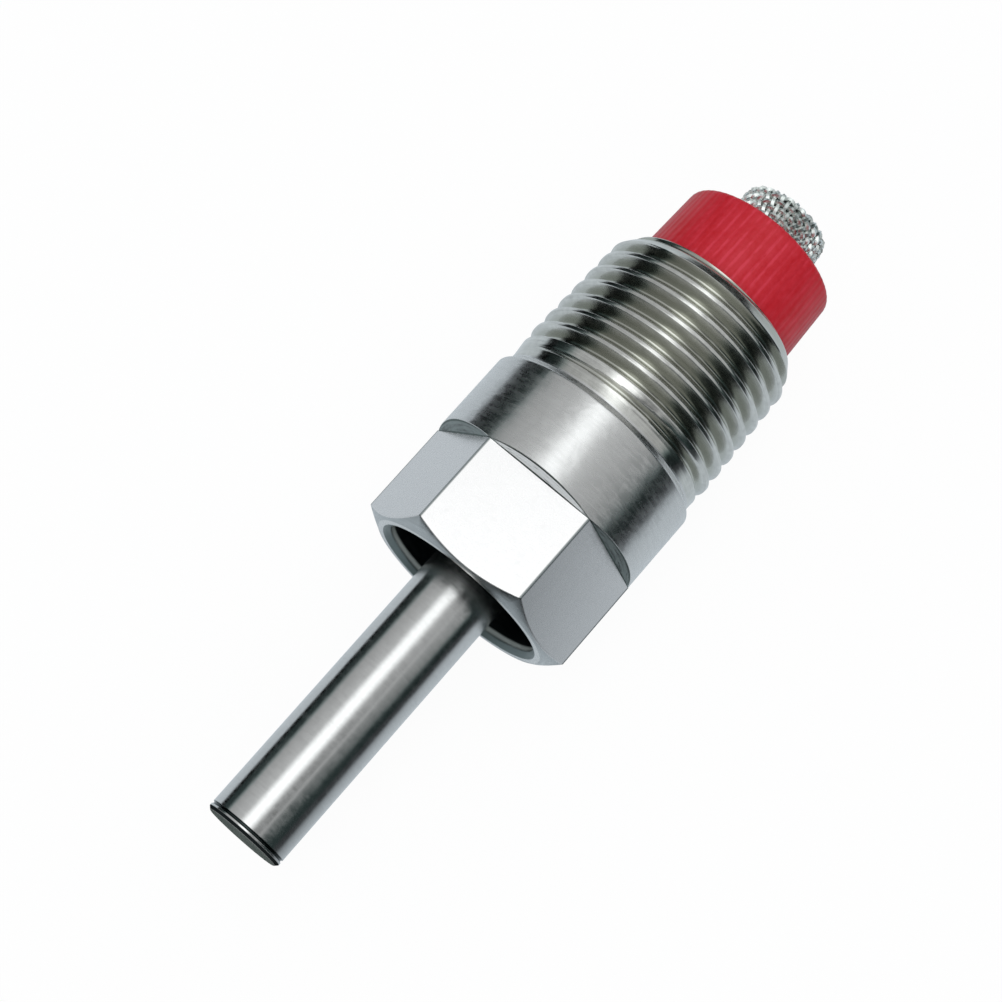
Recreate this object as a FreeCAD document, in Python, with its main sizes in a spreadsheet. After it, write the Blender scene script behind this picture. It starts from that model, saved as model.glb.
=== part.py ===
import FreeCAD, Part
import os
import re
import PartDesign
import Sketcher
import Spreadsheet

# Pig nipple drinker. The axis of the drinker is Y: the trigger pin points to -Y and the strainer to +Y.
# The origin is on the axis at the shoulder, where the round collar meets the threaded shank. Z is up.
# Sizes are in millimetres and degrees. "station" means a place along the axis, measured from the shoulder.

SIZES = {
    # bar stock with the spanner hexagon milled on its front, and the collar turned behind it
    "bar_radius": 11.0,
    "across_flats": 19.0,
    "hex_length": 10.2,
    "collar_radius": 10.9,
    "collar_length": 8.5,
    "front_circle_radius": 9.2,
    "front_chamfer_angle": 30,
    # drinking recess at the front, the wall behind it and the valve chamber
    "recess_radius": 8.1,
    "recess_lip": 0.45,
    "web_thickness": 2.5,
    "seat_setback": 4.0,
    "chamber_radius": 7.0,
    "chamber_lip": 0.3,
    # threaded shank: tapered pipe thread, fourteen turns to the inch
    "neck_radius": 10.27,
    "neck_length": 0.9,
    "neck_ramp": 2.3,
    "shank_length": 16.2,
    "thread_pitch": 1.814,
    "thread_depth": 1.16,
    "thread_half_angle": 27.5,
    "thread_root_width": 0.26,
    "thread_cutter_clearance": 0.145,
    "thread_gauge_radius": 10.5,
    "thread_gauge_station": 3.4,
    "thread_taper_angle": 1.79,
    "thread_first_root": 2.01,
    "thread_fade_turns": 0.62,
    "lead_length": 1.7,
    "lead_drop": 1.14,
    # trigger pin
    "pin_radius": 3.86,
    "pin_reach": 28.0,
    "pin_edge": 0.3,
    "pin_ring_setback": 0.52,
    "pin_ring_width": 0.27,
    "pin_ring_depth": 0.12,
    "pin_rocking_gap": 0.94,
    "head_radius": 6.35,
    "head_thickness": 1.6,
    "boss_radius": 3.1,
    "boss_length": 1.5,
    "boss_edge": 0.4,
    # rubber ring between the pin's head and the seat
    "seal_section": 2.62,
    "seal_gap": 0.04,
    # coil spring behind the head
    "spring_wire": 0.9,
    "spring_open_turns": 3,
    "spring_coil_gap": 0.04,
    "spring_boss_gap": 0.35,
    "spring_end_gap": 0.03,
    # plastic plug that closes the chamber, guides the spring and holds the strainer
    "plug_near_radius": 8.22,
    "plug_far_radius": 7.95,
    "plug_proud": 7.4,
    "plug_far_edge": 0.55,
    "spigot_length": 8.35,
    "spigot_gap": 0.05,
    "spigot_edge": 0.5,
    "pocket_gap": 0.4,
    "pocket_depth": 2.6,
    "jet_radius": 1.5,
    "socket_depth": 5.2,
    # woven wire strainer cup
    "strainer_near_radius": 4.72,
    "strainer_far_radius": 4.6,
    "strainer_proud": 4.55,
    "strainer_wall": 0.46,
    "strainer_corner": 0.4,
    "strainer_gap": 0.02,
    "mesh_wall_cuts": 12,
    "mesh_wall_rows": 3,
    "mesh_wall_pitch": 1.25,
    "mesh_hole": 0.62,
    "mesh_first_row": 0.95,
    "mesh_end_side": 6,
    "mesh_end_pitch": 1.02,
}

# Places and fits that follow from the sizes above, as expressions of the sheet's cells.
FRONT = "(-collar_length - hex_length)"
SEAT = "(-seat_setback)"
WEB_FRONT = f"({SEAT} - web_thickness)"
PIN_HOLE = "(pin_radius + pin_rocking_gap)"
TAPER = "tan(thread_taper_angle)"
LEAD_START = "(shank_length - lead_length)"
RAMP_END = "(neck_length + neck_ramp)"
BLANK_END = "(shank_length + 3 * thread_pitch)"
TIP = f"({FRONT} - pin_reach)"
SEAL_FRONT = f"({SEAT} + seal_gap)"
HEAD_FRONT = f"({SEAL_FRONT} + seal_section + seal_gap)"
HEAD_REAR = f"({HEAD_FRONT} + head_thickness)"
BOSS_END = f"({HEAD_REAR} + boss_length)"
SPIGOT_FRONT = "(shank_length - spigot_length)"
POCKET_FLOOR = f"({SPIGOT_FRONT} + pocket_depth)"
SPRING_FRONT = f"({HEAD_REAR} + spring_end_gap)"
SPRING_REAR = f"({POCKET_FLOOR} - spring_end_gap)"
COIL_RADIUS = "(boss_radius + spring_boss_gap + spring_wire / 2)"
POCKET_RADIUS = f"({COIL_RADIUS} + spring_wire / 2 + pocket_gap)"
SPIGOT_RADIUS = "(chamber_radius - spigot_gap)"
PLUG_END = "(shank_length + plug_proud)"
SOCKET_FLOOR = f"({PLUG_END} - socket_depth)"
SOCKET_RADIUS = "(strainer_near_radius + strainer_gap)"
STRAINER_END = f"({PLUG_END} + strainer_proud)"


def crest_radius(station):
    """Radius of the thread's crests at a station: the thread tapers towards the shank's end."""
    return f"(thread_gauge_radius - ({station} - thread_gauge_station) * {TAPER})"


def bound(text):
    """The same expression with each size's name pointing at its cell in the sheet."""
    return re.sub(r"[a-z_]{4,}", lambda word: f"Sizes.{word[0]}" if word[0] in SIZES else word[0], text)


def make_sheet(doc):
    """Spreadsheet with one named cell for each driving size."""
    sheet = doc.addObject("Spreadsheet::Sheet", "Sizes")
    for row, (name, value) in enumerate(SIZES.items(), start=1):
        sheet.set(f"A{row}", name)
        sheet.set(f"B{row}", str(value))
        sheet.setAlias(f"B{row}", name)
    doc.recompute()
    return sheet


def make_body(doc, name):
    """Empty body for one sub-part, named as its file is."""
    body = doc.addObject("PartDesign::Body", name)
    body.Label = name
    body.Placement = FreeCAD.Placement()
    return body


def origin_plane(body, role):
    """One of the body's own origin planes."""
    return next(plane for plane in body.Origin.OriginFeatures if plane.Role == role)


def flat_sketch(body, name, role, lift=None):
    """Sketch on an origin plane, lifted along the plane's normal where lift is given."""
    sketch = body.newObject("Sketcher::SketchObject", name)
    sketch.AttachmentSupport = (origin_plane(body, role), [""])
    sketch.MapMode = "FlatFace"
    if lift:
        sketch.setExpression("AttachmentOffset.Base.z", bound(lift))
    return sketch


def size_constraint(sketch, name, constraint, expression):
    """Add one dimension to the sketch and tie it to the sheet."""
    index = sketch.addConstraint(constraint)
    sketch.renameConstraint(index, name)
    sketch.setExpression(f"Constraints.{name}", bound(expression))


def outline(sketch, corners, start=0):
    """Closed outline of straight lines. Each corner is a pair of expressions, across and along the sketch."""
    count = len(corners)
    guess = [(cell_value(sketch, across), cell_value(sketch, along)) for across, along in corners]
    for i in range(count):
        here = FreeCAD.Vector(*guess[i], 0)
        there = FreeCAD.Vector(*guess[(i + 1) % count], 0)
        sketch.addGeometry(Part.LineSegment(here, there), False)
    for i in range(count):
        this_line = start + i
        next_line = start + (i + 1) % count
        sketch.addConstraint(Sketcher.Constraint("Coincident", this_line, 2, next_line, 1))
    for i, (across, along) in enumerate(corners):
        line = start + i
        if across == "0":
            sketch.addConstraint(Sketcher.Constraint("PointOnObject", line, 1, -2))
        else:
            at = Sketcher.Constraint("DistanceX", -1, 1, line, 1, guess[i][0])
            size_constraint(sketch, f"across{line}", at, across)
        at = Sketcher.Constraint("DistanceY", -1, 1, line, 1, guess[i][1])
        size_constraint(sketch, f"along{line}", at, along)


def cell_value(sketch, expression):
    """Value of an expression of the sheet's cells, as a plain number."""
    value = sketch.evalExpression(bound(expression))
    return float(getattr(value, "Value", value))


def turned(body, name, corners):
    """Solid of revolution about the drinker's axis. Corners are (radius, station)."""
    sketch = flat_sketch(body, f"{name}_section", "XY_Plane")
    outline(sketch, corners)
    turning = body.newObject("PartDesign::Revolution", name)
    turning.Profile = sketch
    turning.ReferenceAxis = (sketch, ["V_Axis"])
    turning.Angle = 360
    body.Document.recompute()
    return turning


def bored(body, name, corners):
    """Material turned out of the body about the drinker's axis. Corners are (radius, station)."""
    sketch = flat_sketch(body, f"{name}_section", "XY_Plane")
    outline(sketch, corners)
    before = body.Shape.Volume
    boring = body.newObject("PartDesign::Groove", name)
    boring.Profile = sketch
    boring.ReferenceAxis = (sketch, ["V_Axis"])
    boring.Angle = 360
    body.Document.recompute()
    must_have_cut(body, name, before)
    return boring


def must_have_cut(body, name, before):
    """Stop where a cut took nothing away."""
    if body.Shape.Volume > before - 0.001:
        raise RuntimeError(f"{body.Label}: {name} cut nothing")


def helix_about_axis(body, kind, name, sketch, pitch, turns, cone_angle, backwards=False):
    """Sweep a sketched section along a right-handed helix about the drinker's axis."""
    sweep = body.newObject(kind, name)
    sweep.Profile = sketch
    sweep.ReferenceAxis = (sketch, ["V_Axis"])
    sweep.Mode = "pitch-turns-angle"
    sweep.setExpression("Pitch", bound(pitch))
    sweep.setExpression("Turns", bound(turns))
    sweep.setExpression("Angle", bound(cone_angle))
    sweep.LeftHanded = False
    sweep.Reversed = backwards
    body.Document.recompute()
    return sweep


def make_valve_body(doc):
    """One turned and milled piece: spanner hexagon, round collar and tapered threaded shank, bored through."""
    body = make_body(doc, "valve_body")
    chamfer_end = f"({FRONT} + (bar_radius - front_circle_radius) * tan(front_chamfer_angle))"
    turned(body, "bar", [
        ("0", FRONT),
        ("front_circle_radius", FRONT),
        ("bar_radius", chamfer_end),
        ("bar_radius", "-1 * collar_length"),
        ("collar_radius", "-1 * collar_length"),
        ("collar_radius", "neck_radius - collar_radius"),
        ("neck_radius", "0 * neck_radius"),
        ("neck_radius", "neck_length"),
        (crest_radius(RAMP_END), RAMP_END),
        (crest_radius(BLANK_END), BLANK_END),
        ("0", BLANK_END),
    ])
    cut_thread(body)
    bored(body, "faced_end", [
        (crest_radius(LEAD_START), LEAD_START),
        (f"{crest_radius(LEAD_START)} - lead_drop", "shank_length"),
        ("0", "shank_length"),
        ("0", f"{BLANK_END} + thread_pitch"),
        ("2 * bar_radius", f"{BLANK_END} + thread_pitch"),
        ("2 * bar_radius", LEAD_START),
    ])
    cut_hexagon(body)
    bored(body, "bore", [
        ("0", FRONT),
        ("recess_radius + recess_lip", FRONT),
        ("recess_radius", f"{FRONT} + recess_lip"),
        ("recess_radius", WEB_FRONT),
        (PIN_HOLE, WEB_FRONT),
        (PIN_HOLE, SEAT),
        ("chamber_radius", SEAT),
        ("chamber_radius", "shank_length - chamber_lip"),
        ("chamber_radius + chamber_lip", "shank_length"),
        ("0", "shank_length"),
    ])
    return body


def cut_hexagon(body):
    """Mill six spanner flats, facing up, down and between, into the front of the bar."""
    sketch = flat_sketch(body, "hexagon", "XZ_Plane", f"-1 * {FRONT}")
    corner = "across_flats / sqrt(3)"
    outline(sketch, [(f"{corner} * cos({60 * i})", f"{corner} * sin({60 * i})") for i in range(6)])
    radius = cell_value(sketch, "2 * bar_radius")
    sketch.addGeometry(Part.Circle(FreeCAD.Vector(), FreeCAD.Vector(0, 0, 1), radius), False)
    sketch.addConstraint(Sketcher.Constraint("Coincident", 6, 3, -1, 1))
    size_constraint(sketch, "outside", Sketcher.Constraint("Radius", 6, radius), "2 * bar_radius")
    before = body.Shape.Volume
    flats = body.newObject("PartDesign::Pocket", "spanner_flats")
    flats.Profile = sketch
    flats.Type = "Length"
    flats.setExpression("Length", bound("hex_length"))
    body.Document.recompute()
    must_have_cut(body, "spanner_flats", before)


def cut_thread(body):
    """Cut the helical thread groove, which fades out near the collar."""
    sketch = flat_sketch(body, "thread_groove", "XY_Plane")
    root = f"({crest_radius('thread_first_root')} - thread_depth)"
    rim = f"({crest_radius('thread_first_root')} + thread_cutter_clearance)"
    half_root = "thread_root_width / 2"
    half_rim = f"({half_root} + ({rim} - {root}) * tan(thread_half_angle))"
    outline(sketch, [
        (rim, f"thread_first_root - {half_rim}"),
        (root, f"thread_first_root - {half_root}"),
        (root, f"thread_first_root + {half_root}"),
        (rim, f"thread_first_root + {half_rim}"),
    ])
    before = body.Shape.Volume
    turns = "(shank_length - thread_first_root) / thread_pitch + 1"
    helix_about_axis(body, "PartDesign::SubtractiveHelix", "thread", sketch,
                     "thread_pitch", turns, "-1 * thread_taper_angle")
    must_have_cut(body, "thread", before)
    before = body.Shape.Volume
    fade = "atan((thread_depth + thread_cutter_clearance) / (thread_pitch * thread_fade_turns))"
    helix_about_axis(body, "PartDesign::SubtractiveHelix", "thread_fade", sketch,
                     "thread_pitch", "thread_fade_turns", fade, backwards=True)
    must_have_cut(body, "thread_fade", before)


def make_trigger_pin(doc):
    """Turned pin that the pig bites: long plain rod, sealing head and a short boss inside the spring."""
    body = make_body(doc, "trigger_pin")
    ring = f"({TIP} + pin_ring_setback)"
    turned(body, "rod", [
        ("0", TIP),
        ("pin_radius - pin_edge", TIP),
        ("pin_radius", f"{TIP} + pin_edge"),
        ("pin_radius", ring),
        ("pin_radius - pin_ring_depth", ring),
        ("pin_radius - pin_ring_depth", f"{ring} + pin_ring_width"),
        ("pin_radius", f"{ring} + pin_ring_width"),
        ("pin_radius", HEAD_FRONT),
        ("head_radius", HEAD_FRONT),
        ("head_radius", HEAD_REAR),
        ("boss_radius", HEAD_REAR),
        ("boss_radius", f"{BOSS_END} - boss_edge"),
        ("boss_radius - boss_edge", BOSS_END),
        ("0", BOSS_END),
    ])
    return body


def round_section(body, name, radius, station, section_radius):
    """Sketch of one circle, for a ring or a wire."""
    sketch = flat_sketch(body, name, "XY_Plane")
    centre = FreeCAD.Vector(cell_value(sketch, radius), cell_value(sketch, station), 0)
    size = cell_value(sketch, section_radius)
    sketch.addGeometry(Part.Circle(centre, FreeCAD.Vector(0, 0, 1), size), False)
    size_constraint(sketch, "section", Sketcher.Constraint("Radius", 0, size), section_radius)
    across = Sketcher.Constraint("DistanceX", -1, 1, 0, 3, centre.x)
    size_constraint(sketch, "across", across, radius)
    along = Sketcher.Constraint("DistanceY", -1, 1, 0, 3, centre.y)
    size_constraint(sketch, "along", along, station)
    return sketch


def make_seat_seal(doc):
    """Rubber ring on the pin, between its head and the seat."""
    body = make_body(doc, "seat_seal")
    centre = "pin_radius + seal_gap + seal_section / 2"
    sketch = round_section(body, "ring_section", centre, f"{SEAL_FRONT} + seal_section / 2", "seal_section / 2")
    ring = body.newObject("PartDesign::Revolution", "ring")
    ring.Profile = sketch
    ring.ReferenceAxis = (sketch, ["V_Axis"])
    ring.Angle = 360
    doc.recompute()
    return body


def make_return_spring(doc):
    """Coil spring from the pin's head to the floor of the plug's pocket, with one closed coil at each end."""
    body = make_body(doc, "return_spring")
    closed_pitch = "(spring_wire + spring_coil_gap)"
    free_length = f"({SPRING_REAR} - {SPRING_FRONT} - spring_wire - 2 * {closed_pitch})"
    start = f"({SPRING_FRONT} + spring_wire / 2)"
    stretches = [
        ("front_coil", start, closed_pitch, "1"),
        ("open_coils", f"{start} + {closed_pitch}", f"{free_length} / spring_open_turns", "spring_open_turns"),
        ("rear_coil", f"{start} + {closed_pitch} + {free_length}", closed_pitch, "1"),
    ]
    for name, station, pitch, turns in stretches:
        sketch = round_section(body, f"{name}_section", COIL_RADIUS, station, "spring_wire / 2")
        helix_about_axis(body, "PartDesign::AdditiveHelix", name, sketch, pitch, turns, "0 * spring_wire")
    return body


def make_filter_plug(doc):
    """Plastic plug: spigot in the rear of the chamber, ribbed head behind the shank, water way through it."""
    body = make_body(doc, "filter_plug")
    turned(body, "plug", [
        (POCKET_RADIUS, SPIGOT_FRONT),
        (f"{SPIGOT_RADIUS} - spigot_edge", SPIGOT_FRONT),
        (SPIGOT_RADIUS, f"{SPIGOT_FRONT} + spigot_edge"),
        (SPIGOT_RADIUS, "shank_length"),
        ("plug_near_radius", "shank_length"),
        ("plug_far_radius", f"{PLUG_END} - plug_far_edge"),
        ("plug_far_radius - plug_far_edge", PLUG_END),
        (SOCKET_RADIUS, PLUG_END),
        (SOCKET_RADIUS, SOCKET_FLOOR),
        ("jet_radius", SOCKET_FLOOR),
        ("jet_radius", POCKET_FLOOR),
        (POCKET_RADIUS, POCKET_FLOOR),
    ])
    return body


def make_strainer(doc):
    """Cup of woven wire, pressed into the plug's socket with its closed end outwards."""
    body = make_body(doc, "strainer")
    inner_near = "strainer_near_radius - strainer_wall"
    inner_far = "strainer_far_radius - strainer_wall"
    corner_start = f"{STRAINER_END} - strainer_corner"
    turned(body, "cup", [
        (inner_near, SOCKET_FLOOR),
        ("strainer_near_radius", SOCKET_FLOOR),
        ("strainer_near_radius", PLUG_END),
        ("strainer_far_radius", corner_start),
        ("strainer_far_radius - strainer_corner", STRAINER_END),
        ("0", STRAINER_END),
        ("0", f"{STRAINER_END} - strainer_wall"),
        (f"{inner_far} - strainer_corner / 2", f"{STRAINER_END} - strainer_wall"),
        (inner_far, f"{corner_start} - strainer_wall / 2"),
        (inner_near, PLUG_END),
    ])
    wall_meshes(body)
    end_meshes(body)
    return body


def square_holes(body, name, role, lift, places, depth, both_ways=False):
    """Cut square gaps between the wires, with their centres at the given places of one sketch."""
    sketch = flat_sketch(body, f"{name}_sketch", role, lift)
    half = "mesh_hole / 2"
    for i, (across, along) in enumerate(places):
        outline(sketch, [
            (f"{across} - {half}", f"{along} - {half}"),
            (f"{across} + {half}", f"{along} - {half}"),
            (f"{across} + {half}", f"{along} + {half}"),
            (f"{across} - {half}", f"{along} + {half}"),
        ], start=4 * i)
    before = body.Shape.Volume
    gaps = body.newObject("PartDesign::Pocket", name)
    gaps.Profile = sketch
    gaps.Type = "Length"
    gaps.Midplane = both_ways
    gaps.Reversed = not both_ways
    gaps.setExpression("Length", bound(depth))
    body.Document.recompute()
    must_have_cut(body, name, before)
    return sketch, gaps


def wall_meshes(body):
    """Gaps in the strainer's wall: rows along it, and columns round it from cuts right through."""
    rows = round(cell_value(body, "mesh_wall_rows"))
    places = [("0 * mesh_hole", f"({PLUG_END} + mesh_first_row + {i} * mesh_wall_pitch)") for i in range(rows)]
    sketch, gaps = square_holes(body, "wall_gaps", "XY_Plane", None, places, "4 * strainer_near_radius", True)
    columns = body.newObject("PartDesign::PolarPattern", "wall_columns")
    columns.Originals = [gaps]
    columns.Axis = (sketch, ["V_Axis"])
    columns.Angle = 180
    columns.Mode = "Spacing"
    columns.setExpression("Offset", bound("180 / mesh_wall_cuts"))
    columns.setExpression("Occurrences", bound("mesh_wall_cuts"))
    body.Tip = columns
    body.Document.recompute()


def end_meshes(body):
    """Gaps in the strainer's closed end, in a square grid."""
    side = round(cell_value(body, "mesh_end_side"))
    first = "(-(mesh_end_side - 1) * mesh_end_pitch / 2)"
    places = [(first, f"({first} + {i} * mesh_end_pitch)") for i in range(side)]
    lift = f"-1 * {STRAINER_END}"
    sketch, gaps = square_holes(body, "end_gaps", "XZ_Plane", lift, places, "2 * strainer_wall")
    columns = body.newObject("PartDesign::LinearPattern", "end_columns")
    columns.Originals = [gaps]
    columns.Direction = (sketch, ["H_Axis"])
    columns.Mode = "Spacing"
    columns.setExpression("Offset", bound("mesh_end_pitch"))
    columns.setExpression("Occurrences", bound("mesh_end_side"))
    body.Tip = columns
    body.Document.recompute()


def check_document(doc, bodies):
    """Stop where a feature failed or a sub-part is not one sound solid."""
    for item in doc.Objects:
        if "Invalid" in item.State or "Error" in item.State:
            raise RuntimeError(f"{item.Label} failed: {item.State}")
    for body in bodies:
        shape = body.Shape
        if shape.isNull() or not shape.isValid() or len(shape.Solids) != 1:
            raise RuntimeError(f"{body.Label} is not one valid solid")
        print(f"{body.Label}: {shape.Volume:.2f} mm3, {len(shape.Faces)} faces")


def main():
    doc = FreeCAD.newDocument("nipple_drinker")
    make_sheet(doc)
    bodies = [
        make_valve_body(doc),
        make_trigger_pin(doc),
        make_seat_seal(doc),
        make_return_spring(doc),
        make_filter_plug(doc),
        make_strainer(doc),
    ]
    doc.recompute()
    check_document(doc, bodies)
    os.makedirs("parts", exist_ok=True)
    for body in bodies:
        body.Shape.exportStep(f"parts/{body.Label}.step")


main()
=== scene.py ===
import math

import bmesh
import bpy
import numpy as np
from mathutils import Matrix, Vector


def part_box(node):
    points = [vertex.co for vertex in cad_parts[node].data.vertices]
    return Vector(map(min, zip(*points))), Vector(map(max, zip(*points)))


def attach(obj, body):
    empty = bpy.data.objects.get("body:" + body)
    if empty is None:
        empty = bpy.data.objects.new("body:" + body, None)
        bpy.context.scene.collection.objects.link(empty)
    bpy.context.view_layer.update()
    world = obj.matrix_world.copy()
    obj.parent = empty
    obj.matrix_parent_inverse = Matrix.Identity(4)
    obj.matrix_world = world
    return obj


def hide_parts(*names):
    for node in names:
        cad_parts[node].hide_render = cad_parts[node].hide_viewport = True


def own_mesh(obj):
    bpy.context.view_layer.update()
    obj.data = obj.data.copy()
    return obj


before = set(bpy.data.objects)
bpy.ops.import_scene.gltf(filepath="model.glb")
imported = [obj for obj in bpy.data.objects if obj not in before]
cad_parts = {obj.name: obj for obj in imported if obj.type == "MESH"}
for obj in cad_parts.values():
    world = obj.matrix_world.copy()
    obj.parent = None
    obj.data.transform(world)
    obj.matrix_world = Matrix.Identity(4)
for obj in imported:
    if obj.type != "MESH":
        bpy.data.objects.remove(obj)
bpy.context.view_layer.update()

# Pig nipple drinker. The axis of the drinker is Y, the trigger pin points to -Y and the strainer to +Y.
# Sizes below are in millimetres and degrees, and become metres only where a mesh is written.
# "Station" is a place along the axis. "Turn" is an angle round it, right-handed about +Y from +X.
MM = 0.001


def extent(node, axis):
    """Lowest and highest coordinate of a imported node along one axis, in millimetres."""
    low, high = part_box(node)
    return low[axis] / MM, high[axis] / MM


X, Y, Z = 0, 1, 2
TIP = extent("trigger_pin", Y)[0]
FRONT, SHANK_END = extent("valve_body", Y)
SPIGOT_FRONT, PLUG_END = extent("filter_plug", Y)
SOCKET_FLOOR, STRAINER_END = extent("strainer", Y)
CORNER_RADIUS = extent("valve_body", X)[1]
COLLAR_RADIUS = extent("valve_body", Z)[1]
SPRING_FRONT, SPRING_REAR = extent("return_spring", Y)
SPRING_RADIUS = extent("return_spring", X)[1]
BOSS_END = extent("trigger_pin", Y)[1]

# spanner hexagon, collar and drinking recess
ACROSS_FLATS = 19.0
FLAT_END = -8.7
HEX_EDGE = 0.06
FRONT_CIRCLE = 9.2
FRONT_SLOPE = math.tan(math.radians(30))
COLLAR_CHAMFER = 0.63
COLLAR_START = FLAT_END + 0.7
RECESS_RADIUS = 8.1
RECESS_LIP = 0.45
WEB_FRONT = -6.5
SEAT = -4.0
PIN_HOLE = 4.8
CHAMBER_RADIUS = 7.0
CHAMBER_LIP = 0.3

# ramps at the ends of the flats, between two seams painted dark for the shade in them
RUNOUT_SLOPE = 0.31
RUNOUT_GAP = 0.06
RUNOUT_TOP = 0.85
SEAM = 0.04
FOOT_RISE = 0.18
FOOT_HIGHEST = 0.12
FOOT_LEAN = 0.05

# threaded shank
NECK_RADIUS = COLLAR_RADIUS - COLLAR_CHAMFER
NECK_LENGTH = 0.9
NECK_RAMP = 2.3
PITCH = 1.814
DEPTH = 1.16
FLANK_SLOPE = math.tan(math.radians(27.5))
ROOT_WIDTH = 0.26
ROOT_ROUNDING = 0.06
CREST_ROUNDING = 0.05
CUTTER_CLEARANCE = 0.145
GAUGE_RADIUS = 10.5
GAUGE_STATION = 3.4
TAPER_SLOPE = math.tan(math.radians(1.79))
FIRST_ROOT = 2.01
FADE_TURNS = 0.62
LEAD_LENGTH = 1.7
LEAD_DROP = 1.14
THREAD_START = 0.2
# length of the lead's dark band, painted for the dark reflection it shows
END_REFLECTION_BAND = 0.42

# trigger pin
PIN_RADIUS = 3.86
PIN_EDGE = 0.3
RING_SETBACK = 0.52
RING_WIDTH = 0.27
RING_DEPTH = 0.12
RING_FLANK = 0.06
HEAD_RADIUS = extent("trigger_pin", X)[1]
HEAD_FRONT = -1.3
HEAD_REAR = 0.3
BOSS_RADIUS = 3.1
BOSS_EDGE = 0.4

# spring
WIRE = 0.9
CLOSED_PITCH = 0.94
OPEN_TURNS = 3

# filter plug
PLUG_NEAR = 8.22
PLUG_FAR = 7.95
PLUG_EDGE = 0.55
RIBS = 60
RIB_DEPTH = 0.03
SPIGOT_RADIUS = 6.95
SPIGOT_EDGE = 0.5
POCKET_RADIUS = 4.75
POCKET_FLOOR = 10.45
JET_RADIUS = 1.5
SOCKET_RADIUS = 4.74
SOCKET_RIM = 0.9

# strainer
MESH_NEAR = 4.72
MESH_FAR = 4.6
MESH_CORNER = 0.6
MESH_PITCH = 0.72
MESH_WIRE = 0.25
MESH_WAVE = 0.68
MESH_INSIDE = 0.9
BAND_END = 0.54
BAND_WALL = 0.44
BAND_CLEARANCE = 0.02

# camera: a point abreast of the axis at CAMERA_STATION, CAMERA_DISTANCE away and CAMERA_ABOVE above
# the horizon on the +X side, looking CAMERA_TURN towards the strainer
LENS = 83.82
CAMERA_STATION = -59.38
CAMERA_DISTANCE = 198.73
CAMERA_ABOVE = 82.4
CAMERA_TURN = 13.95
CAMERA_LIFT = 0.70
CAMERA_ROLL = 48.4

# mesh making: points closer than WELD become one, and rows of points SUPPORT away from a rounded edge keep
# the shading beside it flat
WELD = 1e-4
SUPPORT = 0.03
SHARP = 40


# Meshes

def mesh_object(name, points, faces, finishes, finish_of_face=None, welded=True, sharp=SHARP):
    """Object from points in millimetres, smooth but for edges that turn more than the sharp angle."""
    mesh = bpy.data.meshes.new(name)
    mesh.from_pydata((np.asarray(points) * MM).tolist(), [], [tuple(face) for face in faces])
    if finish_of_face is not None:
        mesh.polygons.foreach_set("material_index", finish_of_face)
    for finish in finishes:
        mesh.materials.append(finish)
    obj = bpy.data.objects.new(name, mesh)
    bpy.context.scene.collection.objects.link(obj)
    build = bmesh.new()
    build.from_mesh(mesh)
    if welded:
        bmesh.ops.remove_doubles(build, verts=build.verts, dist=WELD * MM)
    bmesh.ops.recalc_face_normals(build, faces=build.faces)
    for face in build.faces:
        face.smooth = True
    for edge in build.edges:
        edge.smooth = len(edge.link_faces) == 2 and edge.calc_face_angle(0) < math.radians(sharp)
    build.to_mesh(mesh)
    build.free()
    return obj


def on_circle(radius, station, turns):
    """Points at the given radius and station, one for each turn."""
    angle = 2 * math.pi * turns
    radius = np.broadcast_to(radius, turns.shape)
    station = np.broadcast_to(station, turns.shape)
    return np.stack([radius * np.cos(angle), station, -radius * np.sin(angle)], axis=-1)


def grid_faces(rows, columns, offset=0):
    """Faces between neighbouring rows and columns of a grid of points."""
    corner = offset + np.arange(rows - 1)[:, None] * columns + np.arange(columns - 1)[None, :]
    return np.stack([corner, corner + 1, corner + columns + 1, corner + columns], axis=-1).reshape(-1, 4)


def rounded(corners, steps=4):
    """Outline through (radius, station, rounding) corners, with an arc in place of each rounded one."""
    points = []
    count = len(corners)
    for i, (radius, station, edge) in enumerate(corners):
        here = np.array([radius, station], float)
        if edge == 0 or i in (0, count - 1):
            points.append(here)
            continue
        before = np.array(corners[i - 1][:2], float) - here
        after = np.array(corners[i + 1][:2], float) - here
        start = before / np.linalg.norm(before)
        end = after / np.linalg.norm(after)
        points.append(here + start * (edge + SUPPORT))
        for k in range(steps + 1):
            share = k / steps
            points.append(here + start * edge * (1 - share) ** 2 + end * edge * share ** 2)
        points.append(here + end * (edge + SUPPORT))
    return points


def turned_rows(corners, turns):
    """Rows of points round the axis, one for each point of a rounded outline."""
    return [on_circle(radius, station, turns) for radius, station in rounded(corners)]


def lathe(name, corners, segments, finish):
    """Closed turned piece from an outline that starts and ends on the axis, or closes on itself."""
    rows = turned_rows(corners, np.arange(segments + 1) / segments)
    return mesh_object(name, np.concatenate(rows), grid_faces(len(rows), segments + 1), [finish])


def banded(name, bands, finishes):
    """One skin from bands of rows, each band with its own finish."""
    names = list(finishes)
    points = []
    faces = []
    finish_of_face = []
    offset = 0
    for finish, rows in bands:
        columns = len(rows[0])
        made = grid_faces(len(rows), columns, offset)
        points.extend(rows)
        faces.append(made)
        finish_of_face.append(np.full(len(made), names.index(finish)))
        offset += len(rows) * columns
    return mesh_object(name, np.concatenate(points), np.concatenate(faces).tolist(), finishes.values(),
                       np.concatenate(finish_of_face).astype(np.int32))


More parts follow.
